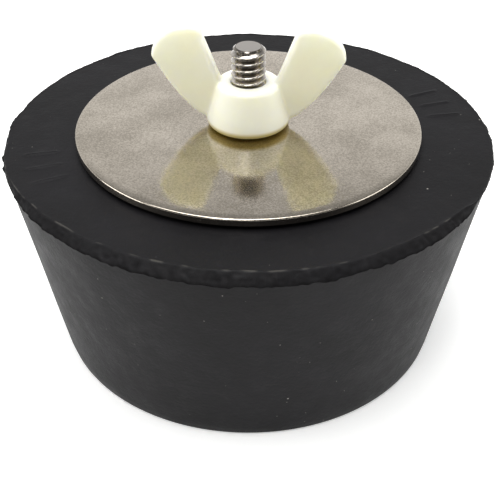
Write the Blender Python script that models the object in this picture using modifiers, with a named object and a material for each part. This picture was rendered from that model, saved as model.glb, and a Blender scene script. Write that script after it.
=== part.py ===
"""Tapered rubber expansion plug with a disc on each end, a carriage bolt and a wing nut.

Metres, +Z up. The origin is the centre of the small end, on the surface it stands on,
and the bolt's axis is the Z axis.
"""
import bmesh
import bpy
from math import asin, cos, pi, radians, sin, sqrt
from mathutils import Matrix

# Rubber stopper
TOP_DIAMETER = 0.0900
BASE_DIAMETER = 0.0750
HEIGHT = 0.0410
RIM_DROP = 0.0010
RIM_BEVEL = 0.0012
BASE_EDGE = 0.0008
RECESS_DEPTH = 0.0060

# Discs
TOP_DISC_DIAMETER = 0.0635
BOTTOM_DISC_DIAMETER = 0.0508
DISC_THICKNESS = 0.0015
DISC_EDGE = 0.0005

# Carriage bolt, 1/4-20
BOLT_DIAMETER = 0.00622
BOLT_STANDOUT = 0.0065
THREAD_PITCH = 0.00127
THREAD_DEPTH = 0.00070
THREAD_SPARE = 0.0028
END_CHAMFER = 0.0008
HEAD_DIAMETER = 0.0150
HEAD_HEIGHT = 0.0036
NECK_WIDTH = 0.0066
NECK_LENGTH = 0.0038

# Wing nut
HUB_BASE_DIAMETER = 0.0153
HUB_TOP_DIAMETER = 0.0119
HUB_HEIGHT = 0.0083
HUB_EDGE = 0.0007
WING_SPAN = 0.0345
WING_RISE = 0.0186
WING_TIP_HEIGHT = 0.0127
WING_TOP_X = 0.0101
WING_CORNER = 0.0012
WING_FOOT = 0.0012
WING_SWEEP = 1.55
WING_SINK = 0.0007
WING_THICKNESS = 0.0030
WING_ROUND = 0.0006
WING_TURN = radians(-4)

# How far the nut turns, and draws the top disc down, as the plug is made tight
PRESS_TURNS = 4.25
PRESS_TRAVEL = PRESS_TURNS * THREAD_PITCH

# Clearances
TOUCH_GAP = 0.0003
BOLT_CLEARANCE = 0.0004
NECK_CLEARANCE = 0.0002
THREAD_CLEARANCE = 0.00016
RECESS_CLEARANCE = 0.0011

# Round pieces are drawn with this many sides
STOPPER_SIDES = 72
DISC_SIDES = 64
BOLT_SIDES = 24
HUB_SIDES = 40
THREAD_SIDES = 16

# Places along the bolt, from the floor up
DISC_STACK = DISC_THICKNESS + TOUCH_GAP
BOTTOM_DISC_Z = RECESS_DEPTH - DISC_STACK
HEAD_TOP_Z = BOTTOM_DISC_Z - TOUCH_GAP
TOP_DISC_Z = HEIGHT + TOUCH_GAP
NUT_Z = TOP_DISC_Z + DISC_STACK
BOLT_END_Z = NUT_Z + HUB_HEIGHT + BOLT_STANDOUT
THREAD_START_Z = NUT_Z - PRESS_TRAVEL - THREAD_SPARE
NECK_TOP_Z = HEAD_TOP_Z + NECK_LENGTH
BOLT_HOLE_RADIUS = BOLT_DIAMETER / 2 + BOLT_CLEARANCE
NECK_RELIEF_RADIUS = NECK_WIDTH * sqrt(0.5) + TOUCH_GAP
NECK_HOLE_WIDTH = NECK_WIDTH + 2 * NECK_CLEARANCE


def clear_scene():
    for thing in list(bpy.data.objects):
        bpy.data.objects.remove(thing, do_unlink=True)


def new_collection(name):
    collection = bpy.data.collections.new(name)
    bpy.context.scene.collection.children.link(collection)
    return collection


def material(name, color, roughness, metallic=0.0):
    made = bpy.data.materials.new(name)
    made.use_nodes = True
    shader = made.node_tree.nodes["Principled BSDF"]
    shader.inputs["Base Color"].default_value = (*color, 1.0)
    shader.inputs["Roughness"].default_value = roughness
    shader.inputs["Metallic"].default_value = metallic
    return made


def place(mesh, name, collection, finish=None):
    made = bpy.data.objects.new(name, mesh)
    collection.objects.link(made)
    if finish:
        mesh.materials.append(finish)
    return made


def evaluated_mesh(made):
    """The object's mesh with its modifiers applied, as a mesh of its own."""
    graph = bpy.context.evaluated_depsgraph_get()
    return bpy.data.meshes.new_from_object(made.evaluated_get(graph))


def settle(made):
    """Applies the object's modifiers to its mesh."""
    mesh = evaluated_mesh(made)
    made.modifiers.clear()
    made.data = mesh


def shade_round(made, angle=35):
    made.data.shade_smooth()
    made.data.set_sharp_from_angle(angle=radians(angle))


def arc(center_x, center_z, radius, start, end, steps):
    """Points of an arc in the XZ plane, angles in degrees from +X towards +Z."""
    points = []
    for step in range(steps + 1):
        angle = radians(start + (end - start) * step / steps)
        points.append((center_x + radius * cos(angle), center_z + radius * sin(angle)))
    return points


def turned(name, profile, sides, collection, finish=None):
    """A solid turned about Z from a profile of (radius, z) points, top to bottom outside.

    A profile that starts and ends on the axis makes a plain solid, and any other profile
    is closed on itself, which leaves a hole along the axis.
    """
    mesh = bpy.data.meshes.new(name)
    shape = bmesh.new()
    points = [shape.verts.new((radius, 0, z)) for radius, z in profile]
    for first, second in zip(points, points[1:]):
        shape.edges.new((first, second))
    if profile[0][0] > 0:
        shape.edges.new((points[-1], points[0]))
    shape.to_mesh(mesh)
    shape.free()
    made = place(mesh, name, collection, finish)
    screw = made.modifiers.new("Turn", "SCREW")
    screw.steps = sides
    screw.render_steps = sides
    screw.use_merge_vertices = True
    screw.merge_threshold = 0.000001
    settle(made)
    return made


def boolean(made, other, operation):
    change = made.modifiers.new(operation.title(), "BOOLEAN")
    change.operation = operation
    change.object = other
    change.solver = "EXACT"


def hide_cutter(cutter):
    cutter.hide_render = True
    cutter.display_type = "WIRE"


def box(name, width, depth, height, center, collection):
    shape = bmesh.new()
    size = Matrix.Diagonal((width, depth, height, 1))
    bmesh.ops.create_cube(shape, size=1, matrix=Matrix.Translation(center) @ size)
    mesh = bpy.data.meshes.new(name)
    shape.to_mesh(mesh)
    shape.free()
    return place(mesh, name, collection)


def threaded_rod(name, crest_radius, root_radius, low, high, collection):
    """A right-hand screw thread about Z that covers low to high, in phase with z = 0."""
    first_turn = int(low / THREAD_PITCH) - 2
    turns = int((high - low) / THREAD_PITCH) + 5
    crest_flat = THREAD_PITCH / 8
    root_flat = THREAD_PITCH / 4
    flank = (THREAD_PITCH - crest_flat - root_flat) / 2
    mesh = bpy.data.meshes.new(name)
    shape = bmesh.new()
    base = first_turn * THREAD_PITCH
    steps = [
        (root_radius, 0),
        (crest_radius, flank),
        (crest_radius, flank + crest_flat),
        (root_radius, 2 * flank + crest_flat),
        (root_radius, THREAD_PITCH),
    ]
    points = [shape.verts.new((radius, 0, base + z)) for radius, z in reversed(steps)]
    for first, second in zip(points, points[1:]):
        shape.edges.new((first, second))
    shape.to_mesh(mesh)
    shape.free()
    made = place(mesh, name, collection)
    screw = made.modifiers.new("Thread", "SCREW")
    screw.screw_offset = THREAD_PITCH
    screw.iterations = turns
    screw.steps = THREAD_SIDES
    screw.render_steps = THREAD_SIDES
    screw.use_merge_vertices = False
    weld = made.modifiers.new("Weld", "WELD")
    weld.merge_threshold = 0.00001
    settle(made)
    close_ends(made.data)
    return made


def close_ends(mesh):
    """Closes each open end with a fan to a point on the axis, past the thread in use."""
    shape = bmesh.new()
    shape.from_mesh(mesh)
    open_edges = [edge for edge in shape.edges if edge.is_boundary]
    middle = sum(vert.co.z for vert in shape.verts) / len(shape.verts)
    for above in (False, True):
        rim = [edge for edge in open_edges if (edge.verts[0].co.z > middle) == above]
        heights = [vert.co.z for edge in rim for vert in edge.verts]
        tip_z = max(heights) if above else min(heights)
        tip = shape.verts.new((0, 0, tip_z))
        for edge in rim:
            shape.faces.new((edge.verts[0], edge.verts[1], tip))
    bmesh.ops.recalc_face_normals(shape, faces=shape.faces)
    shape.to_mesh(mesh)
    shape.free()


def ring_profile(radius, hole, thickness, edge, bottom):
    """A flat disc with rounded rims and a plain hole, top to bottom outside."""
    top = bottom + thickness
    profile = [(hole, top)]
    profile += arc(radius - edge, top - edge, edge, 90, 0, 3)
    profile += arc(radius - edge, bottom + edge, edge, 0, -90, 3)
    profile.append((hole, bottom))
    return profile


def make_stopper(parts, finish):
    """The moulded rubber: a taper with a trimmed rim, a bore and a recess in its base."""
    top_radius = TOP_DIAMETER / 2
    base_radius = BASE_DIAMETER / 2
    recess_radius = BOTTOM_DISC_DIAMETER / 2 + RECESS_CLEARANCE
    profile = [(BOLT_HOLE_RADIUS, HEIGHT), (top_radius - RIM_BEVEL, HEIGHT)]
    profile += [(top_radius, HEIGHT - RIM_DROP)]
    profile += arc(base_radius - BASE_EDGE, BASE_EDGE, BASE_EDGE, 0, -90, 3)
    profile += [(recess_radius, 0), (recess_radius, RECESS_DEPTH)]
    relief_top = max(NECK_TOP_Z, RECESS_DEPTH) + TOUCH_GAP
    profile += [(NECK_RELIEF_RADIUS, RECESS_DEPTH), (NECK_RELIEF_RADIUS, relief_top)]
    profile += [(BOLT_HOLE_RADIUS, relief_top)]
    made = turned("rubber_stopper", profile, STOPPER_SIDES, parts, finish)
    shade_round(made)
    return made


def make_top_disc(parts, finish):
    profile = ring_profile(
        TOP_DISC_DIAMETER / 2, BOLT_HOLE_RADIUS, DISC_THICKNESS, DISC_EDGE, TOP_DISC_Z
    )
    made = turned("top_disc", profile, DISC_SIDES, parts, finish)
    shade_round(made)
    return made


def make_bottom_disc(parts, cutters, finish):
    """The disc inside the base, with a square hole that keys the bolt's neck."""
    radius = BOTTOM_DISC_DIAMETER / 2
    top = BOTTOM_DISC_Z + DISC_THICKNESS
    profile = [(0, top)]
    profile += arc(radius - DISC_EDGE, top - DISC_EDGE, DISC_EDGE, 90, 0, 3)
    profile += arc(radius - DISC_EDGE, BOTTOM_DISC_Z + DISC_EDGE, DISC_EDGE, 0, -90, 3)
    profile.append((0, BOTTOM_DISC_Z))
    made = turned("bottom_disc", profile, DISC_SIDES, parts, finish)
    center = (0, 0, BOTTOM_DISC_Z + DISC_THICKNESS / 2)
    height = 4 * DISC_THICKNESS
    hole = box("neck_hole", NECK_HOLE_WIDTH, NECK_HOLE_WIDTH, height, center, cutters)
    hide_cutter(hole)
    boolean(made, hole, "DIFFERENCE")
    settle(made)
    shade_round(made)
    return made


def head_profile():
    """The domed head: a cap of the sphere that meets the head's rim and its crown."""
    rim = HEAD_DIAMETER / 2
    crown = HEAD_TOP_Z - HEAD_HEIGHT
    sphere = (rim ** 2 + HEAD_HEIGHT ** 2) / (2 * HEAD_HEIGHT)
    half_angle = asin(rim / sphere)
    points = [(0, HEAD_TOP_Z), (rim, HEAD_TOP_Z)]
    steps = 5
    for step in range(1, steps):
        angle = half_angle * (1 - step / steps)
        points.append((sphere * sin(angle), crown + sphere * (1 - cos(angle))))
    points.append((0, crown))
    return points


def make_bolt(parts, cutters, finish):
    """Domed head, square neck, plain shank and a right-hand thread with a chamfered end."""
    radius = BOLT_DIAMETER / 2
    made = turned("carriage_bolt", head_profile(), BOLT_SIDES, parts, finish)
    sink = HEAD_HEIGHT / 4
    neck_height = NECK_LENGTH + sink
    neck_center = (0, 0, HEAD_TOP_Z - sink + neck_height / 2)
    neck = box("square_neck", NECK_WIDTH, NECK_WIDTH, neck_height, neck_center, cutters)
    shank_low = HEAD_TOP_Z + NECK_LENGTH / 2
    outside = radius + THREAD_DEPTH
    envelope_profile = [
        (0, BOLT_END_Z),
        (radius - END_CHAMFER, BOLT_END_Z),
        (outside, BOLT_END_Z - END_CHAMFER - THREAD_DEPTH),
        (outside, THREAD_START_Z),
        (0, THREAD_START_Z - outside),
    ]
    envelope = turned("thread_envelope", envelope_profile, THREAD_SIDES * 2, cutters)
    root_radius = radius - THREAD_DEPTH
    thread = threaded_rod(
        "bolt_thread", radius, root_radius, THREAD_START_Z, BOLT_END_Z, cutters
    )
    boolean(thread, envelope, "INTERSECT")
    settle(thread)
    shank_profile = [
        (0, THREAD_START_Z + THREAD_PITCH),
        (root_radius - THREAD_DEPTH / 4, THREAD_START_Z + THREAD_PITCH),
        (radius, THREAD_START_Z - THREAD_DEPTH),
        (radius, shank_low),
        (0, shank_low),
    ]
    shank = turned("plain_shank", shank_profile, BOLT_SIDES, cutters)
    for piece in (neck, shank, thread):
        hide_cutter(piece)
        boolean(made, piece, "UNION")
        settle(made)
    hide_cutter(envelope)
    shade_round(made)
    return made


def wing_outline():
    """One wing's outline in the XZ plane: up its outer edge, over its arch, down inside."""
    foot_x = HUB_BASE_DIAMETER / 2 - WING_SINK
    hub_x = HUB_TOP_DIAMETER / 2 - WING_SINK
    tip_x = WING_SPAN / 2
    outline = [(hub_x, WING_FOOT)]
    for step in range(6):
        share = step / 6
        edge_z = WING_FOOT + (WING_TIP_HEIGHT - WING_FOOT) * share ** WING_SWEEP
        outline.append((foot_x + (tip_x - foot_x) * share, edge_z))
    for step in range(6):
        bend = radians(90 * step / 5)
        arch_x = WING_TOP_X + (tip_x - WING_TOP_X) * cos(bend)
        arch_z = WING_TIP_HEIGHT + (WING_RISE - WING_TIP_HEIGHT) * sin(bend)
        outline.append((arch_x, arch_z))
    corner = WING_CORNER
    outline.append((WING_TOP_X - corner, WING_RISE - corner / 4))
    outline.append((WING_TOP_X - 1.6 * corner, WING_RISE - corner))
    outline.append((hub_x, HUB_HEIGHT - WING_SINK))
    return outline


def make_wing(name, turn, cutters):
    """A flat wing with softened rims, standing out from the hub along +X."""
    curve = bpy.data.curves.new(name, "CURVE")
    curve.dimensions = "2D"
    curve.fill_mode = "BOTH"
    curve.extrude = WING_THICKNESS / 2 - WING_ROUND
    curve.bevel_depth = WING_ROUND
    curve.bevel_resolution = 1
    curve.offset = -WING_ROUND
    spline = curve.splines.new("POLY")
    outline = wing_outline()
    spline.points.add(len(outline) - 1)
    for point, (x, z) in zip(spline.points, outline):
        point.co = (x, z, 0, 1)
    spline.use_cyclic_u = True
    guide = bpy.data.objects.new(name + "_outline", curve)
    cutters.objects.link(guide)
    upright = Matrix.Rotation(radians(90), 4, "X")
    around = Matrix.Rotation(turn, 4, "Z")
    guide.matrix_world = Matrix.Translation((0, 0, NUT_Z)) @ around @ upright
    bpy.context.view_layer.update()
    mesh = evaluated_mesh(guide)
    mesh.transform(guide.matrix_world)
    bpy.data.objects.remove(guide)
    shape = bmesh.new()
    shape.from_mesh(mesh)
    bmesh.ops.remove_doubles(shape, verts=shape.verts, dist=0.000002)
    bmesh.ops.recalc_face_normals(shape, faces=shape.faces)
    shape.to_mesh(mesh)
    shape.free()
    wing = place(mesh, name, cutters)
    hide_cutter(wing)
    return wing


def make_wing_nut(parts, cutters, finish):
    """A coned hub with two wings, tapped to match the bolt and free to turn on it."""
    base = HUB_BASE_DIAMETER / 2
    top = HUB_TOP_DIAMETER / 2
    high = NUT_Z + HUB_HEIGHT
    profile = [(0, high)]
    profile += arc(top - HUB_EDGE, high - HUB_EDGE, HUB_EDGE, 90, 10, 2)
    profile += arc(base - HUB_EDGE, NUT_Z + HUB_EDGE * 1.6, HUB_EDGE, 10, 0, 1)
    profile += [(base - HUB_EDGE * 0.4, NUT_Z + HUB_EDGE * 0.4), (base - HUB_EDGE, NUT_Z)]
    profile.append((0, NUT_Z))
    made = turned("wing_nut", profile, HUB_SIDES, parts, finish)
    for name, turn in (("right_wing", WING_TURN), ("left_wing", WING_TURN + pi)):
        boolean(made, make_wing(name, turn, cutters), "UNION")
        settle(made)
    crest = BOLT_DIAMETER / 2 + THREAD_CLEARANCE
    root = BOLT_DIAMETER / 2 - THREAD_DEPTH + THREAD_CLEARANCE
    tap = threaded_rod("nut_thread", crest, root, NUT_Z, high, cutters)
    hide_cutter(tap)
    boolean(made, tap, "DIFFERENCE")
    settle(made)
    shade_round(made)
    return made


def build():
    clear_scene()
    parts = new_collection("expansion_plug")
    cutters = new_collection("cutters")
    rubber = material("black_rubber", (0.035, 0.033, 0.036), 0.75)
    disc_steel = material("tumbled_steel", (0.52, 0.50, 0.47), 0.42, 1.0)
    hidden_steel = material("base_disc_steel", (0.50, 0.49, 0.47), 0.45, 1.0)
    bolt_steel = material("bolt_steel", (0.60, 0.58, 0.55), 0.30, 1.0)
    nylon = material("natural_nylon", (0.80, 0.77, 0.60), 0.40)
    make_stopper(parts, rubber)
    make_bottom_disc(parts, cutters, hidden_steel)
    make_bolt(parts, cutters, bolt_steel)
    make_top_disc(parts, disc_steel)
    make_wing_nut(parts, cutters, nylon)


build()
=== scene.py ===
import bmesh
import bpy
from math import asin, cos, exp, pi, radians, sin
from mathutils import Matrix, Vector, noise


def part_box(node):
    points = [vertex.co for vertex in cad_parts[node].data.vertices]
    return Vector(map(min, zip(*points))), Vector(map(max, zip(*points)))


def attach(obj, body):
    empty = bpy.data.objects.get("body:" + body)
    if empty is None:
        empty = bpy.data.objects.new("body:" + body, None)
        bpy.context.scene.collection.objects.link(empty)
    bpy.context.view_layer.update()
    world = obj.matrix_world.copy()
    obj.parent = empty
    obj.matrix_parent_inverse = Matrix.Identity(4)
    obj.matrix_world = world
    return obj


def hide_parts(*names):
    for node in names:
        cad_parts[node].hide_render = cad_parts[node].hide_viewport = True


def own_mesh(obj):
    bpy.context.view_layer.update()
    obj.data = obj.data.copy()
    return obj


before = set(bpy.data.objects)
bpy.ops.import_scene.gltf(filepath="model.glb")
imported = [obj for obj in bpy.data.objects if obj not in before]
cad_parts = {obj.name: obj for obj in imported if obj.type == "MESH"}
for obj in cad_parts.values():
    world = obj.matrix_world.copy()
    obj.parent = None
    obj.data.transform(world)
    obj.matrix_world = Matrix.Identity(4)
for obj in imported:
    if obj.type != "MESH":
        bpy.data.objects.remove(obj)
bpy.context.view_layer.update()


# Rubber stopper: one compression moulding in black natural rubber, tapered, with a bore for
# the bolt and a recess in its small end. The flash round its wide end was cut off with a
# knife, which left an uneven bevel with a ragged lower lip.

MM = 0.001
STOPPER_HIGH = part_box("rubber_stopper")[1]
BASE_DISC_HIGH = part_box("bottom_disc")[1]
BOLT_LOW, BOLT_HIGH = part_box("carriage_bolt")
STOPPER_HEIGHT = STOPPER_HIGH[2] / MM
RIM_RADIUS = STOPPER_HIGH[0] / MM
BASE_RADIUS = 37.5
BASE_EDGE = 0.8
RECESS_RADIUS = BASE_DISC_HIGH[0] / MM + 1.1
RECESS_TOP = BASE_DISC_HIGH[2] / MM + 0.3
BORE_RADIUS = 3.5
NECK_RELIEF = 5.0
NECK_RELIEF_TOP = 8.0
RIM_LIP = 0.22
RIM_CLEARANCE = 0.03
NUB_ROOM = 0.30
FACE_START = 30
FACE_SPAN = 11.7
FACE_DROP = 0.12
LIP_UNDERCUT = 0.10
SIDE_DROP = 0.24
SIDE_INSET = 0.25
UNCUT_AT = 3
FRONT_CUT_AT = -85
DEEPEST_CUT_AT = -118
TICKS_AT = (199, 17)
TICK_APART = 7
TICK_INNER_END = (34.6, 35.4)
TICK_OUTER_END = (40.4, 41.2)
TICK_RISE = 0.24
TICK_HALF_WIDTH = 0.32
EDGE_STEPS = 5
STOPPER_SIDES = 900
WELD_DISTANCE = 0.0000005


def circle_noise(angle, per_turn, seed):
    """Smooth noise from -1 to 1 that closes on itself round the axis."""
    reach = per_turn / (2 * pi)
    return noise.noise(Vector((reach * cos(angle), reach * sin(angle), seed)))


def smooth_step(low, high, value):
    share = min(max((value - low) / (high - low), 0.0), 1.0)
    return share * share * (3 - 2 * share)


def turn_gap(angle, middle):
    """How far an angle is from another, in degrees, the short way round."""
    gap = (angle * 180 / pi - middle) % 360
    return min(gap, 360 - gap)


def knife_missed(angle):
    """1 along the right of the rim, where the moulding left no flash to cut, and 0 elsewhere."""
    return 1 - smooth_step(35, 39, turn_gap(angle, UNCUT_AT))


def front_cut(angle):
    """1 along the front of the rim, where the knife cut deeper, and 0 at its back."""
    return smooth_step(0, 45, 75 - turn_gap(angle, FRONT_CUT_AT))


def trim_width(angle):
    """The knife's bevel across the rim: wide at the front, nearly nothing at the right."""
    plain = knife_missed(angle)
    deepest = smooth_step(0, 35, 50 - turn_gap(angle, DEEPEST_CUT_AT))
    width = 0.75 + 1.4 * front_cut(angle) + 0.7 * deepest
    width += 0.35 * circle_noise(angle, 14, 3.1) + 0.35 * circle_noise(angle, 60, 9.4)
    return width * (1 - plain) + (0.55 + 0.1 * circle_noise(angle, 30, 5.2)) * plain


def trim_drop(angle):
    """How far below the top face the bevel's ragged lower lip lies."""
    plain = knife_missed(angle)
    drop = 0.45 * circle_noise(angle, 20, 1.7) + 0.42 * circle_noise(angle, 95, 8.8)
    drop += 0.36 * circle_noise(angle, 260, 2.9)
    drop = 0.75 + 0.55 * front_cut(angle) + drop * (0.5 + 0.5 * front_cut(angle))
    return drop * (1 - plain) + 0.35 * plain


def rim_nub(angle):
    """Crumbs of flash that the knife left standing on the rim."""
    rough = circle_noise(angle, 110, 6.6) + 0.5 * circle_noise(angle, 250, 4.5)
    patch = 0.35 + 0.65 * smooth_step(-0.3, 0.2, circle_noise(angle, 9, 0.6))
    nub = 1.25 * NUB_ROOM * smooth_step(0.1, 0.6, rough) * patch
    return min(nub + 0.13 * circle_noise(angle, 90, 7.3), NUB_ROOM)


def tick_height(angle, radius):
    """Three raised radial ticks on each side of the top face, from cuts in the mould."""
    height = 0.0
    for side in TICKS_AT:
        for step in (-TICK_APART, 0, TICK_APART):
            across = turn_gap(angle, side + step) * pi / 180 * radius
            along = smooth_step(*TICK_INNER_END, radius) * (1 - smooth_step(*TICK_OUTER_END, radius))
            height += TICK_RISE * exp(-(across / TICK_HALF_WIDTH) ** 2) * along
    return height


def stopper_profile():
    """Rows of (radius, z, row kind) in mm, from the bore's top round to the bore again."""
    rows = [(BORE_RADIUS, STOPPER_HEIGHT, "hidden"), (20, STOPPER_HEIGHT, "hidden")]
    rows += [(FACE_START, STOPPER_HEIGHT, "hidden")]
    rows += [(FACE_START + 0.5 + 0.5 * step, STOPPER_HEIGHT, "face") for step in range(23)]
    rows += [(share, STOPPER_HEIGHT, "trim") for share in (0, 0.06, 0.2, 0.4, 0.6, 0.8, 0.94, 1)]
    rows += [(0, 0, "lip")]
    rows += [(1 - share, 0, "side") for share in (0, 0.01, 0.02, 0.04)]
    rows += [(1 - 0.04 * step, 0, "side") for step in range(2, 25)]
    for step in range(1, EDGE_STEPS + 1):
        bend = radians(90 * step / EDGE_STEPS)
        radius = BASE_RADIUS - BASE_EDGE * (1 - cos(bend))
        rows.append((radius, BASE_EDGE * (1 - sin(bend)), "base"))
    rows += [(RECESS_RADIUS, 0, "base"), (RECESS_RADIUS, RECESS_TOP, "base")]
    rows += [(NECK_RELIEF, RECESS_TOP, "base"), (NECK_RELIEF, NECK_RELIEF_TOP, "base")]
    rows += [(BORE_RADIUS, NECK_RELIEF_TOP, "base")]
    return rows


def stopper_point(angle, row):
    """One point of the stopper: its radius and height at this angle, in mm."""
    radius, z, kind = row
    width = trim_width(angle)
    rim = RIM_RADIUS - NUB_ROOM - RIM_CLEARANCE
    lip_z = STOPPER_HEIGHT - trim_drop(angle)
    inner = RIM_RADIUS - width
    if kind == "face":
        radius = FACE_START + (inner - FACE_START) * (radius - FACE_START) / FACE_SPAN
        sink = 0.05 + 0.06 * circle_noise(angle, 7, radius / 9)
        return radius, z - sink - FACE_DROP + tick_height(angle, radius)
    if kind == "trim":
        share = radius
        cut = 0.18 * circle_noise(angle, 170, 4.0 + 3.0 * share) * sin(pi * share)
        cut += 0.1 * circle_noise(angle, 400, 7.0 + 1.9 * share) * sin(pi * share)
        fall = share ** 1.35
        burr = 0.08 * (0.4 + 1.4 * circle_noise(angle, 170, 5.5))
        burr = burr * exp(-((share - 0.06) / 0.06) ** 2)
        out = inner + (rim + rim_nub(angle) - inner) * share
        crumb = rim_nub(angle) * smooth_step(0.7, 1.0, share)
        return out + cut, z - FACE_DROP + (lip_z - z) * fall + cut * 0.6 + burr + crumb
    if kind == "lip":
        return rim - RIM_LIP, lip_z - FACE_DROP - LIP_UNDERCUT
    if kind == "side":
        height = BASE_EDGE + (lip_z - SIDE_DROP - BASE_EDGE) * radius
        spread = RIM_RADIUS - SIDE_INSET - RIM_LIP - BASE_RADIUS
        taper = BASE_RADIUS + spread * height / STOPPER_HEIGHT
        return taper + 0.07 * circle_noise(angle, 9, height / 14), height
    return radius, z


def cut_and_painted_light_mark(angle, row):
    """How freshly cut the rubber is: 1 on the bevel, more near its lower lip as painted shadow, and -1
    on the burr along its top edge, painted pale as a highlight.
    """
    if row[-1] not in ("trim", "lip"):
        return 0.0
    trimmed = 1 - knife_missed(angle)
    # Painted highlight: the burr along the bevel's top edge is marked to be drawn pale.
    if row[-1] == "trim" and row[0] <= 0.06:
        broken = circle_noise(angle, 150, 2.4) + 0.7 * circle_noise(angle, 30, 8.2)
        return -trimmed * smooth_step(-0.2, 0.5, broken)
    skid = noise.noise(Vector((40 * cos(angle), 40 * sin(angle), row[0] * 4)))
    # Painted shadow: the bevel darkens further towards its ragged lower lip and on the lip itself.
    lip = 0.6 * smooth_step(0.8, 1.0, row[0]) if row[-1] == "trim" else 0.6
    return trimmed * (0.4 + 0.6 * skid + lip)


def grid_piece(name, rows, sides, point_at, mark=None):
    """A closed mesh: rows of points run round the axis, and the last row meets the first.

    mark(angle, row) gives each point its value in the mesh's "cut" layer, for the material.
    """
    shape = bmesh.new()
    cut = shape.verts.layers.float.new("cut")
    columns = []
    for step in range(sides):
        angle = 2 * pi * step / sides
        column = []
        for row in rows:
            radius, z = point_at(angle, row)
            vert = shape.verts.new((radius * cos(angle) * MM, radius * sin(angle) * MM, z * MM))
            vert[cut] = mark(angle, row) if mark else 0.0
            column.append(vert)
        columns.append(column)
    for step in range(sides):
        here, there = columns[step], columns[(step + 1) % sides]
        for row in range(len(rows)):
            after = (row + 1) % len(rows)
            shape.faces.new((here[row], here[after], there[after], there[row]))
    bmesh.ops.remove_doubles(shape, verts=shape.verts, dist=WELD_DISTANCE)
    bmesh.ops.recalc_face_normals(shape, faces=shape.faces)
    mesh = bpy.data.meshes.new(name)
    shape.to_mesh(mesh)
    shape.free()
    mesh.shade_smooth()
    piece = bpy.data.objects.new(name, mesh)
    bpy.context.scene.collection.objects.link(piece)
    return piece


def colour(hex_code):
    """An sRGB hex colour as linear RGBA."""
    linear = []
    for place in (1, 3, 5):
        value = int(hex_code[place:place + 2], 16) / 255
        linear.append(value / 12.92 if value <= 0.04045 else ((value + 0.055) / 1.055) ** 2.4)
    return (*linear, 1.0)


def node(tree, kind, values=None, links=None, **settings):
    """Adds a node with its settings, its sockets' values and its incoming links."""
    made = tree.nodes.new(kind)
    for name, value in settings.items():
        setattr(made, name, value)
    for socket, value in (values or {}).items():
        made.inputs[socket].default_value = value
    for socket, source in (links or {}).items():
        tree.links.new(source, made.inputs[socket])
    return made


def per_mm(size):
    """The texture scale that makes a pattern's features this many millimetres."""
    return 1.0 / (size * MM)


def new_material(name):
    made = bpy.data.materials.new(name)
    made.use_nodes = True
    tree = made.node_tree
    shader = tree.nodes["Principled BSDF"]
    place = node(tree, "ShaderNodeTexCoord").outputs["Object"]
    return made, tree, shader, place


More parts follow.
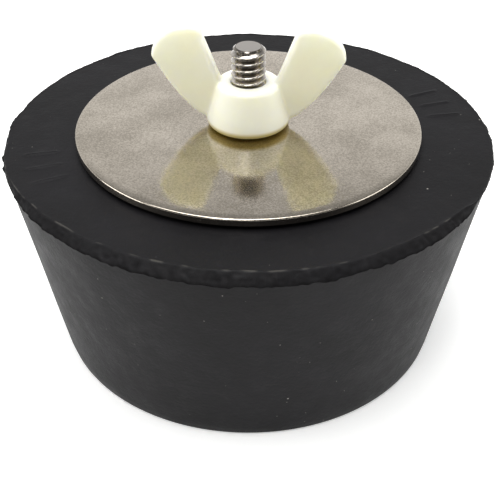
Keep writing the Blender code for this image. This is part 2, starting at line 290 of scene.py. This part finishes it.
def moulded_rubber():
    """Black natural rubber, moulded: soot black, dull, with bloom, dust and fine scuffs."""
    made, tree, shader, place = new_material("moulded_rubber")
    cloud = node(tree, "ShaderNodeTexNoise", {"Scale": per_mm(16), "Detail": 5.0}, {"Vector": place})
    base = node(tree, "ShaderNodeValToRGB", links={"Fac": cloud.outputs["Fac"]})
    base.color_ramp.elements[0].position = 0.3
    base.color_ramp.elements[0].color = colour("#0B0A0C")
    base.color_ramp.elements[1].position = 0.72
    base.color_ramp.elements[1].color = colour("#121114")
    # Bloom and rubbed patches: a thin grey film, broken up.
    film = node(tree, "ShaderNodeTexNoise", {"Scale": per_mm(5), "Detail": 8.0, "Roughness": 0.7},
                {"Vector": place})
    film_share = node(tree, "ShaderNodeMapRange", {"From Min": 0.52, "From Max": 0.8, "To Max": 0.35},
                      {"Value": film.outputs["Fac"]})
    bloomed = node(tree, "ShaderNodeMix", {7: colour("#2A2827")},
                   {0: film_share.outputs["Result"], 6: base.outputs["Color"]}, data_type="RGBA")
    # Scuffs: long thin marks round the taper, where the plug has rubbed in its box.
    stretch = node(tree, "ShaderNodeMapping", {"Scale": (1.0, 1.0, 9.0)}, {"Vector": place})
    scuff = node(tree, "ShaderNodeTexNoise", {"Scale": per_mm(7), "Detail": 6.0, "Roughness": 0.65},
                 {"Vector": stretch.outputs["Vector"]})
    scuff_share = node(tree, "ShaderNodeMapRange", {"From Min": 0.63, "From Max": 0.75, "To Max": 0.3},
                       {"Value": scuff.outputs["Fac"]})
    scuffed = node(tree, "ShaderNodeMix", {7: colour("#2C2A2A")},
                   {0: scuff_share.outputs["Result"], 6: bloomed.outputs[2]}, data_type="RGBA")
    # Dust: pale specks up to 0.4 mm across, drawn a little coarser than real dust so they show.
    dusted = scuffed
    for apart, widest, strength in ((3.4, 0.06, 0.6), (1.7, 0.075, 0.3)):
        dust = node(tree, "ShaderNodeTexVoronoi", {"Scale": per_mm(apart)}, {"Vector": place})
        chance = node(tree, "ShaderNodeSeparateColor", links={"Color": dust.outputs["Color"]})
        reach = node(tree, "ShaderNodeMapRange", {"From Min": 0.5, "From Max": 1.0, "To Max": widest},
                     {"Value": chance.outputs["Red"]})
        speck = node(tree, "ShaderNodeMath", operation="LESS_THAN",
                     links={0: dust.outputs["Distance"], 1: reach.outputs["Result"]})
        share = node(tree, "ShaderNodeMath", {1: strength}, {0: speck.outputs["Value"]},
                     operation="MULTIPLY")
        dusted = node(tree, "ShaderNodeMix", {7: colour("#B8B4AC")},
                      {0: share.outputs["Value"], 6: dusted.outputs[2]}, data_type="RGBA")
    # The knife's cut shows fresh rubber, blacker and rougher than the moulded skin. Its darkest strip,
    # along the ragged lower lip, is painted shadow, and the pale line on the burr along its top edge
    # is a painted highlight.
    cut = node(tree, "ShaderNodeAttribute", attribute_name="cut").outputs["Fac"]
    trimmed = node(tree, "ShaderNodeMix", {7: colour("#060506")},
                   {0: cut, 6: dusted.outputs[2]}, data_type="RGBA")
    # Painted highlight: a pale line along the bevel's top edge.
    painted_highlight_share = node(tree, "ShaderNodeMapRange", {"From Min": -0.15, "From Max": -1.0, "To Max": 0.75},
                {"Value": cut})
    painted_edge_highlight = node(tree, "ShaderNodeMix", {7: colour("#45433F")},
                  {0: painted_highlight_share.outputs["Result"], 6: trimmed.outputs[2]}, data_type="RGBA")
    tree.links.new(painted_edge_highlight.outputs[2], shader.inputs["Base Color"])
    rough = node(tree, "ShaderNodeMapRange",
                 {"From Min": 0.3, "From Max": 0.7, "To Min": 0.46, "To Max": 0.62},
                 {"Value": film.outputs["Fac"]})
    roughest = node(tree, "ShaderNodeMix", {3: 0.85}, {0: cut, 2: rough.outputs["Result"]})
    tree.links.new(roughest.outputs[0], shader.inputs["Roughness"])
    shader.inputs["IOR"].default_value = 1.52
    shader.inputs["Specular IOR Level"].default_value = 0.14
    grain = node(tree, "ShaderNodeTexNoise", {"Scale": per_mm(0.7), "Detail": 4.0}, {"Vector": place})
    torn = node(tree, "ShaderNodeMapRange", {"To Min": 0.35, "To Max": 1.0}, {"Value": cut})
    bumps = node(tree, "ShaderNodeBump", {"Distance": 0.12 * MM},
                 {"Height": grain.outputs["Fac"], "Strength": torn.outputs["Result"]})
    dents = node(tree, "ShaderNodeBump", {"Strength": 0.5, "Distance": 0.25 * MM},
                 {"Height": film.outputs["Fac"], "Normal": bumps.outputs["Normal"]})
    tree.links.new(dents.outputs["Normal"], shader.inputs["Normal"])
    return made


stopper = grid_piece("stopper_rubber", stopper_profile(), STOPPER_SIDES, stopper_point, cut_and_painted_light_mark)
stopper.data.set_sharp_from_angle(angle=radians(50))
stopper.data.materials.append(moulded_rubber())
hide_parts("rubber_stopper")
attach(stopper, "stopper")
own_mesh(stopper)


# Base disc: stainless sheet, punched to a round blank with a square hole that keys the
# bolt's neck, then tumbled in a barrel with ceramic chips until its edges were dull.

def tumbled_steel(name, tone, shade):
    """Stainless sheet after tumbling: a dull, directionless grain with faint wide clouds."""
    made, tree, shader, place = new_material(name)
    shader.inputs["Metallic"].default_value = 1.0
    cloud = node(tree, "ShaderNodeTexNoise", {"Scale": per_mm(8), "Detail": 3.0, "Roughness": 0.5},
                 {"Vector": place})
    grain = node(tree, "ShaderNodeTexNoise", {"Scale": per_mm(0.3), "Detail": 3.0, "Roughness": 0.6},
                 {"Vector": place})
    mixed = node(tree, "ShaderNodeMath", {1: 0.55}, {0: cloud.outputs["Fac"], 2: grain.outputs["Fac"]},
                 operation="MULTIPLY_ADD")
    base = node(tree, "ShaderNodeValToRGB", links={"Fac": mixed.outputs["Value"]})
    base.color_ramp.elements[0].position = 0.6
    base.color_ramp.elements[0].color = colour(shade)
    base.color_ramp.elements[1].position = 0.95
    base.color_ramp.elements[1].color = colour(tone)
    tree.links.new(base.outputs["Color"], shader.inputs["Base Color"])
    rough = node(tree, "ShaderNodeMapRange",
                 {"From Min": 0.6, "From Max": 0.95, "To Min": 0.15, "To Max": 0.08},
                 {"Value": mixed.outputs["Value"]})
    tree.links.new(rough.outputs["Result"], shader.inputs["Roughness"])
    # The chips' pecks are about 0.4 mm across, drawn coarser than real ones so they show.
    peck = node(tree, "ShaderNodeTexNoise", {"Scale": per_mm(0.4), "Detail": 3.0}, {"Vector": place})
    bumps = node(tree, "ShaderNodeBump", {"Strength": 0.3, "Distance": 0.012 * MM},
                 {"Height": peck.outputs["Fac"]})
    waves = node(tree, "ShaderNodeBump", {"Strength": 0.3, "Distance": 0.08 * MM},
                 {"Height": cloud.outputs["Fac"], "Normal": bumps.outputs["Normal"]})
    tree.links.new(waves.outputs["Normal"], shader.inputs["Normal"])
    return made


base_disc = bpy.data.objects["bottom_disc"]
base_disc.data.materials.clear()
base_disc.data.materials.append(tumbled_steel("tumbled_base_steel", "#C9C5BF", "#A8A39C"))


# Carriage bolt: 1/4-20 stainless, cold headed with a plain dome and a square neck. The
# thread is rolled, so its crests and roots are rounded and bright, and its end is chamfered.

BOLT_RADIUS = 3.11
BOLT_END = BOLT_HIGH[2] / MM
HEAD_RADIUS = 7.5
HEAD_HEIGHT = 3.6
HEAD_TOP = BOLT_LOW[2] / MM + HEAD_HEIGHT
CROWN_STEPS = 14
NECK_HALF = 3.3
NECK_CORNER = 1.36
NECK_LENGTH = 3.8
NECK_TOP = HEAD_TOP + NECK_LENGTH
THREAD_PITCH = 1.27
THREAD_DEPTH = 0.78
THREAD_LENGTH = 23.0
THREAD_START = BOLT_END - THREAD_LENGTH
ROWS_PER_TURN = 20
END_CHAMFER = 0.8
CHAMFER_SLOPE = 1.1
BOLT_SIDES = 144


def bolt_profile():
    """Rows of (radius, z, row kind) in mm, from the middle of its end down to its crown."""
    rows = [(0, BOLT_END, "cap"), (1.2, BOLT_END, "cap"), (2.0, BOLT_END, "cap")]
    step = THREAD_PITCH / ROWS_PER_TURN
    count = int((BOLT_END - THREAD_START) / step)
    rows += [(None, BOLT_END - 0.01 - step * place, "thread") for place in range(count)]
    rows += [(BOLT_RADIUS, THREAD_START - 0.6, "round"), (BOLT_RADIUS, NECK_TOP + 0.3, "round")]
    rows += [(NECK_HALF, NECK_TOP, "square"), (NECK_HALF, HEAD_TOP, "square")]
    rows += [(HEAD_RADIUS - 0.25, HEAD_TOP, "round"), (HEAD_RADIUS, HEAD_TOP - 0.2, "round")]
    sphere = (HEAD_RADIUS ** 2 + HEAD_HEIGHT ** 2) / (2 * HEAD_HEIGHT)
    half_angle = asin(HEAD_RADIUS / sphere)
    crown = HEAD_TOP - HEAD_HEIGHT
    for place in range(1, CROWN_STEPS):
        angle = half_angle * (1 - place / CROWN_STEPS)
        rows.append((sphere * sin(angle), crown + sphere * (1 - cos(angle)), "round"))
    rows.append((0, crown, "round"))
    return rows


def thread_radius(angle, z):
    """A rolled right-hand thread: rounded crests, softer roots, run out at its start."""
    turn = (z / THREAD_PITCH - angle / (2 * pi)) % 1.0
    flank = abs(2 * turn - 1)
    ridge = 0.5 * smooth_step(0.1, 0.9, flank) + 0.5 * min(max((flank - 0.14) / 0.74, 0), 1)
    run_out = smooth_step(THREAD_START - 0.2, THREAD_START + 2.0, z)
    cut = THREAD_DEPTH * (1 - ridge) * run_out
    chamfer = BOLT_RADIUS - END_CHAMFER + (BOLT_END - z) * CHAMFER_SLOPE
    return min(BOLT_RADIUS - cut, chamfer)


def bolt_point(angle, row):
    radius, z, kind = row
    if kind == "thread":
        return thread_radius(angle, z), z
    if kind == "square":
        flat = NECK_HALF / max(abs(cos(angle)), abs(sin(angle)))
        return min(flat, NECK_HALF * NECK_CORNER), z
    return radius, z


def sheared_end(angle, row):
    """1 on the flat end, where the wire was sheared off, and 0 on the rolled and headed steel."""
    return 1.0 if row[-1] == "cap" else 0.0


def rolled_steel():
    """Cold-worked stainless: bright crests, painted shade down in the roots, and a dull end."""
    made, tree, shader, place = new_material("rolled_steel")
    shader.inputs["Metallic"].default_value = 1.0
    soil = node(tree, "ShaderNodeTexNoise", {"Scale": per_mm(2.6), "Detail": 3.0}, {"Vector": place})
    bright = node(tree, "ShaderNodeValToRGB", links={"Fac": soil.outputs["Fac"]})
    bright.color_ramp.elements[0].position = 0.35
    bright.color_ramp.elements[0].color = colour("#ABA59D")
    bright.color_ramp.elements[1].position = 0.6
    bright.color_ramp.elements[1].color = colour("#CFC9C1")
    # Painted shade lies darkest at the thread's roots and is gone 0.2 mm short of its crests.
    flat = node(tree, "ShaderNodeVectorMath", {1: (1.0, 1.0, 0.0)}, {0: place}, operation="MULTIPLY")
    out = node(tree, "ShaderNodeVectorMath", links={0: flat.outputs["Vector"]}, operation="LENGTH")
    deep = node(tree, "ShaderNodeMapRange",
                {"From Min": (BOLT_RADIUS - THREAD_DEPTH) * MM, "From Max": (BOLT_RADIUS - 0.2) * MM,
                 "To Min": 0.85, "To Max": 0.0}, {"Value": out.outputs["Value"]})
    end = node(tree, "ShaderNodeAttribute", attribute_name="cut").outputs["Fac"]
    thread = node(tree, "ShaderNodeMath", {0: 1.0}, {1: end}, operation="SUBTRACT")
    share = node(tree, "ShaderNodeMath", links={0: deep.outputs["Result"], 1: thread.outputs["Value"]},
                 operation="MULTIPLY")
    root_shade_painted = node(tree, "ShaderNodeMix", {7: colour("#4B453D")},
                 {0: share.outputs["Value"], 6: bright.outputs["Color"]}, data_type="RGBA")
    dull = node(tree, "ShaderNodeMix", {7: colour("#ABA6A1")}, {0: end, 6: root_shade_painted.outputs[2]},
                data_type="RGBA")
    tree.links.new(dull.outputs[2], shader.inputs["Base Color"])
    rough = node(tree, "ShaderNodeMapRange",
                 {"From Min": 0.35, "From Max": 0.65, "To Min": 0.24, "To Max": 0.14},
                 {"Value": soil.outputs["Fac"]})
    rougher = node(tree, "ShaderNodeMix", {3: 0.38}, {0: end, 2: rough.outputs["Result"]})
    tree.links.new(rougher.outputs[0], shader.inputs["Roughness"])
    # Die lines run round the bolt, about 0.13 mm apart.
    stretch = node(tree, "ShaderNodeMapping", {"Scale": (0.2, 0.2, 3.0)}, {"Vector": place})
    lines = node(tree, "ShaderNodeTexNoise", {"Scale": per_mm(0.4), "Detail": 2.0},
                 {"Vector": stretch.outputs["Vector"]})
    bumps = node(tree, "ShaderNodeBump", {"Strength": 0.12, "Distance": 0.004 * MM},
                 {"Height": lines.outputs["Fac"]})
    tree.links.new(bumps.outputs["Normal"], shader.inputs["Normal"])
    return made


bolt = grid_piece("plug_bolt", bolt_profile(), BOLT_SIDES, bolt_point, sheared_end)
bolt.data.set_sharp_from_angle(angle=radians(40))
bolt.data.materials.append(rolled_steel())
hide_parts("carriage_bolt")
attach(bolt, "stopper")


# Top disc: the same tumbled stainless sheet, blanked larger and with a plain round hole.
# Tumbling rolled its edge over, so a thin bright line runs round the rim.

DISC_LOW, DISC_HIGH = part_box("top_disc")
DISC_RADIUS = DISC_HIGH[0] / MM
DISC_BOTTOM = DISC_LOW[2] / MM
DISC_TOP = DISC_HIGH[2] / MM
DISC_EDGE = 0.28
DISC_SIDES = 360


def disc_profile():
    """Rows from the hole's top, out over the rolled edge, and back underneath, in mm."""
    rows = [(BORE_RADIUS, DISC_TOP - 0.15), (BORE_RADIUS + 0.15, DISC_TOP)]
    rows += [(4 + 2.6 * step, DISC_TOP) for step in range(1, 11)]
    for step in range(7):
        bend = radians(90 * step / 6)
        out = DISC_RADIUS - DISC_EDGE + DISC_EDGE * sin(bend)
        rows.append((out, DISC_TOP - DISC_EDGE + DISC_EDGE * cos(bend)))
    burr = 0.25
    rows += [(DISC_RADIUS, DISC_BOTTOM + burr), (DISC_RADIUS - burr, DISC_BOTTOM)]
    rows += [(BORE_RADIUS + 0.15, DISC_BOTTOM), (BORE_RADIUS, DISC_BOTTOM + 0.15)]
    return rows


def disc_point(angle, row):
    """The punched rim wanders by a few hundredths."""
    radius, z = row
    inward = smooth_step(DISC_RADIUS - 3, DISC_RADIUS, radius)
    wander = 0.05 * (circle_noise(angle, 11, 2.2) - 0.8) * inward
    return radius + wander, z


top_disc = grid_piece("press_disc_steel", disc_profile(), DISC_SIDES, disc_point)
top_disc.data.set_sharp_from_angle(angle=radians(40))
top_disc.data.materials.append(tumbled_steel("tumbled_top_steel", "#CEC5B8", "#A29A8D"))
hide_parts("top_disc")
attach(top_disc, "press_disc")


# Wing nut: one injection moulding in natural nylon, a coned hub tapped 1/4-20 with two
# upright wings. Moulding leaves soft edges, generous fillets at the wings' roots and a
# milky, slightly yellow body that light soaks into.

NUT_LOW, NUT_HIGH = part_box("wing_nut")
NUT_BASE = NUT_LOW[2] / MM
WING_TOP = NUT_HIGH[2] / MM - NUT_BASE
WING_REACH = 17.2
WING_TURN = radians(-4)
WING_HALF = 1.5
WING_ROUND = 0.75
WING_SWEEP = 1.55
WING_ROOT_SWELL = 1.08
WING_TIP_THINNING = 0.14
HUB_HEIGHT = 8.3
HUB_BASE = 7.65
HUB_TOP = 5.95
HUB_ROUND = 1.1
NUT_BORE = BOLT_RADIUS + 0.03
NYLON_VOXEL = 0.22
NYLON_SOFTENING = 9


def hub_profile():
    """Rows of (radius, z above the seat) in mm, from the bore's top round to its foot."""
    rows = [(NUT_BORE, HUB_HEIGHT - 0.2), (NUT_BORE + 0.2, HUB_HEIGHT)]
    for step in range(5):
        bend = radians(80 * step / 4)
        rows.append((HUB_TOP - HUB_ROUND * (1 - sin(bend)), HUB_HEIGHT - HUB_ROUND * (1 - cos(bend))))
    rows += [(HUB_BASE - 0.18, 1.9), (HUB_BASE - 0.02, 1.1), (HUB_BASE - 0.12, 0.6)]
    rows += [(HUB_BASE - 0.55, 0.15), (HUB_BASE - 1.0, 0), (NUT_BORE, 0)]
    return rows


def hub_point(angle, row):
    radius, z = row
    return radius, z + NUT_BASE


def wing_outline():
    """A wing seen from the front, in mm from the axis and from the nut's seat."""
    foot_x, foot_z = 7.2, 1.2
    tip_z, arch_x = 12.8, 10.1
    outline = [(4.2, foot_z)]
    for step in range(12):
        share = step / 12
        rise = (tip_z - foot_z) * share ** WING_SWEEP
        outline.append((foot_x + (WING_REACH - foot_x) * share, foot_z + rise))
    for step in range(13):
        bend = radians(90 * step / 12)
        out = (WING_REACH - arch_x) * cos(bend)
        outline.append((arch_x + out, tip_z + (WING_TOP - tip_z) * sin(bend)))
    outline += [(9.0, WING_TOP - 0.3), (8.4, WING_TOP - 1.0), (8.0, WING_TOP - 2.2)]
    outline += [(5.0, HUB_HEIGHT + 0.2), (4.2, HUB_HEIGHT - 1.8)]
    return outline


def wing_mesh(turn):
    """One wing: a flat blade with rounded edges, a little thinner towards its tip."""
    curve = bpy.data.curves.new("wing", "CURVE")
    curve.dimensions = "2D"
    curve.fill_mode = "BOTH"
    curve.extrude = (WING_HALF - WING_ROUND) * MM
    curve.bevel_depth = WING_ROUND * MM
    curve.bevel_resolution = 3
    curve.offset = -WING_ROUND * MM
    points = wing_outline()
    spline = curve.splines.new("POLY")
    spline.points.add(len(points) - 1)
    for point, (x, z) in zip(spline.points, points):
        point.co = (x * MM, z * MM, 0, 1)
    spline.use_cyclic_u = True
    guide = bpy.data.objects.new("wing_guide", curve)
    bpy.context.scene.collection.objects.link(guide)
    graph = bpy.context.evaluated_depsgraph_get()
    mesh = bpy.data.meshes.new_from_object(guide.evaluated_get(graph))
    bpy.data.objects.remove(guide)
    for vert in mesh.vertices:
        vert.co.z *= WING_ROOT_SWELL - WING_TIP_THINNING * smooth_step(6, WING_REACH, vert.co.x / MM)
    lift = Matrix.Translation((0, 0, NUT_BASE * MM))
    mesh.transform(lift @ Matrix.Rotation(turn, 4, "Z") @ Matrix.Rotation(radians(90), 4, "X"))
    return mesh


def moulded_nut():
    """Hub and wings melted into one skin, which is then smoothed into fillets."""
    nut = grid_piece("nylon_wing_nut", hub_profile(), 96, hub_point)
    shape = bmesh.new()
    shape.from_mesh(nut.data)
    for turn in (WING_TURN, WING_TURN + pi):
        wing = wing_mesh(turn)
        shape.from_mesh(wing)
        bpy.data.meshes.remove(wing)
    bmesh.ops.remove_doubles(shape, verts=shape.verts, dist=0.000001)
    bmesh.ops.recalc_face_normals(shape, faces=shape.faces)
    shape.to_mesh(nut.data)
    shape.free()
    skin = nut.modifiers.new("Skin", "REMESH")
    skin.mode = "VOXEL"
    skin.voxel_size = NYLON_VOXEL * MM
    skin.use_smooth_shade = True
    soften = nut.modifiers.new("Soften", "SMOOTH")
    soften.factor = 0.5
    soften.iterations = NYLON_SOFTENING
    graph = bpy.context.evaluated_depsgraph_get()
    mesh = bpy.data.meshes.new_from_object(nut.evaluated_get(graph))
    nut.modifiers.clear()
    nut.data = mesh
    mesh.shade_smooth()
    return nut


def natural_nylon():
    """Undyed nylon 6/6: milky and creamy, satin from the mould, with light soaking in."""
    made, tree, shader, place = new_material("natural_nylon")
    flow = node(tree, "ShaderNodeTexNoise", {"Scale": per_mm(6), "Detail": 3.0}, {"Vector": place})
    base = node(tree, "ShaderNodeValToRGB", links={"Fac": flow.outputs["Fac"]})
    base.color_ramp.elements[0].position = 0.3
    base.color_ramp.elements[0].color = colour("#F6F3DA")
    base.color_ramp.elements[1].position = 0.75
    base.color_ramp.elements[1].color = colour("#FAF8E6")
    # The thick hub is painted whiter than the thin wings, standing in for the light it scatters, and
    # this fades 5 to 12 mm from the axis.
    apart = node(tree, "ShaderNodeVectorMath", {1: (1.0, 1.0, 0.0)}, {0: place}, operation="MULTIPLY")
    out = node(tree, "ShaderNodeVectorMath", links={0: apart.outputs["Vector"]}, operation="LENGTH")
    hub = node(tree, "ShaderNodeMapRange",
               {"From Min": 5 * MM, "From Max": 12 * MM, "To Min": 0.5, "To Max": 0.0},
               {"Value": out.outputs["Value"]})
    hub_scatter_painted = node(tree, "ShaderNodeMix", {7: colour("#F6F4E6")},
                 {0: hub.outputs["Result"], 6: base.outputs["Color"]}, data_type="RGBA")
    # The hub's lowest millimetre is a thin lip, painted yellow: a painted reflection on its chamfered
    # underside.
    height = node(tree, "ShaderNodeSeparateXYZ", links={"Vector": place})
    lip = node(tree, "ShaderNodeMapRange",
               {"From Min": (NUT_BASE + 0.8) * MM, "From Max": (NUT_BASE + 1.5) * MM,
                "To Min": 0.9, "To Max": 0.0}, {"Value": height.outputs["Z"]})
    lip_reflection_painted = node(tree, "ShaderNodeMix", {7: colour("#C8B868")},
                    {0: lip.outputs["Result"], 6: hub_scatter_painted.outputs[2]}, data_type="RGBA")
    tree.links.new(lip_reflection_painted.outputs[2], shader.inputs["Base Color"])
    shader.inputs["Roughness"].default_value = 0.28
    shader.inputs["IOR"].default_value = 1.53
    shader.inputs["Subsurface Weight"].default_value = 0.75
    shader.inputs["Subsurface Radius"].default_value = (1.0, 0.95, 0.6)
    shader.inputs["Subsurface Scale"].default_value = 2.4 * MM
    skin = node(tree, "ShaderNodeTexNoise", {"Scale": per_mm(0.8), "Detail": 3.0}, {"Vector": place})
    bumps = node(tree, "ShaderNodeBump", {"Strength": 0.25, "Distance": 0.05 * MM},
                 {"Height": skin.outputs["Fac"]})
    tree.links.new(bumps.outputs["Normal"], shader.inputs["Normal"])
    return made


wing_nut = moulded_nut()
wing_nut.data.materials.clear()
wing_nut.data.materials.append(natural_nylon())
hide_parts("wing_nut")
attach(wing_nut, "nut")


# Studio table: a sweep of white paper that the plug stands on, which glows a little, as paper
# under strong lamps does. It lies a hair below the plug, so their two faces never coincide.

TABLE_HALF = 1.5
TABLE_GAP = 0.05
TABLE_GLOW = 0.38


def white_table():
    made, tree, shader, place = new_material("white_table")
    paper = node(tree, "ShaderNodeTexNoise", {"Scale": per_mm(30), "Detail": 4.0}, {"Vector": place})
    base = node(tree, "ShaderNodeValToRGB", links={"Fac": paper.outputs["Fac"]})
    base.color_ramp.elements[0].color = colour("#F4F4F2")
    base.color_ramp.elements[1].color = colour("#F8F8F7")
    tree.links.new(base.outputs["Color"], shader.inputs["Base Color"])
    shader.inputs["Roughness"].default_value = 0.6
    shader.inputs["Emission Color"].default_value = colour("#FFFFFF")
    shader.inputs["Emission Strength"].default_value = TABLE_GLOW
    return made


table_shape = bmesh.new()
bmesh.ops.create_grid(table_shape, x_segments=8, y_segments=8, size=TABLE_HALF)
table_mesh = bpy.data.meshes.new("table")
table_shape.to_mesh(table_mesh)
table_shape.free()
table = bpy.data.objects.new("table", table_mesh)
table.location.z = -TABLE_GAP * MM
table_mesh.materials.append(white_table())
bpy.context.scene.collection.objects.link(table)


# Soft boxes: white cloth-fronted lamps overhead, on both sides and high in front. The one
# overhead does most of the work, and the small one in front lights the near side.

def soft_box(name, place, aim, size, power):
    """A square area light that faces a point."""
    light = bpy.data.lights.new(name, "AREA")
    light.size = size
    light.energy = power
    lamp = bpy.data.objects.new(name, light)
    lamp.location = place
    lamp.rotation_euler = (Vector(aim) - Vector(place)).to_track_quat("-Z", "Y").to_euler()
    bpy.context.scene.collection.objects.link(lamp)


soft_box("overhead_box", (-0.05, 0.05, 0.75), (0, 0, 0.02), 0.6, 5.6)
soft_box("left_box", (-0.75, -0.10, 0.35), (0, 0, 0.03), 0.5, 2.2)
soft_box("right_box", (0.75, -0.10, 0.35), (0, 0, 0.03), 0.5, 2.0)
soft_box("high_front_box", (-0.10, -0.34, 0.66), (0, 0, 0.05), 0.25, 1.3)


# Studio room: an open white set. It is dim behind the camera and above, and bright behind the
# plug, where the white sweep rises.

world = bpy.data.worlds.new("studio")
world.use_nodes = True
room = world.node_tree
backdrop = room.nodes["Background"]
backdrop.inputs["Color"].default_value = colour("#FFFFFF")
facing = node(room, "ShaderNodeTexCoord").outputs["Generated"]
depth = node(room, "ShaderNodeSeparateXYZ", links={"Vector": facing})
glow = node(room, "ShaderNodeMapRange",
            {"From Min": -0.6, "From Max": 0.9, "To Min": 0.14, "To Max": 0.95},
            {"Value": depth.outputs["Y"]}, interpolation_type="SMOOTHSTEP")
ceiling = node(room, "ShaderNodeMapRange",
               {"From Min": 0.46, "From Max": 0.62, "To Min": 1.0, "To Max": 0.42},
               {"Value": depth.outputs["Z"]}, interpolation_type="SMOOTHSTEP")
strength = node(room, "ShaderNodeMath", operation="MULTIPLY",
                links={0: glow.outputs["Result"], 1: ceiling.outputs["Result"]})
room.links.new(strength.outputs["Value"], backdrop.inputs["Strength"])
bpy.context.scene.world = world
bpy.context.scene.view_settings.view_transform = "Standard"

# Camera: on a tripod in front of the plug, looking down on it at a little over 36 degrees,
# with the gentle perspective of a portrait lens.

CAMERA_TILT = 36.39
CAMERA_VIEW = 29.57
camera_data = bpy.data.cameras.new("camera")
camera_data.angle = radians(CAMERA_VIEW)
camera = bpy.data.objects.new("camera", camera_data)
camera.location = (0.0001, -0.15476, 0.1276)
camera.rotation_euler = (radians(90 - CAMERA_TILT), 0, 0)
camera_data.shift_x = 0.002
bpy.context.scene.collection.objects.link(camera)
bpy.context.scene.camera = camera
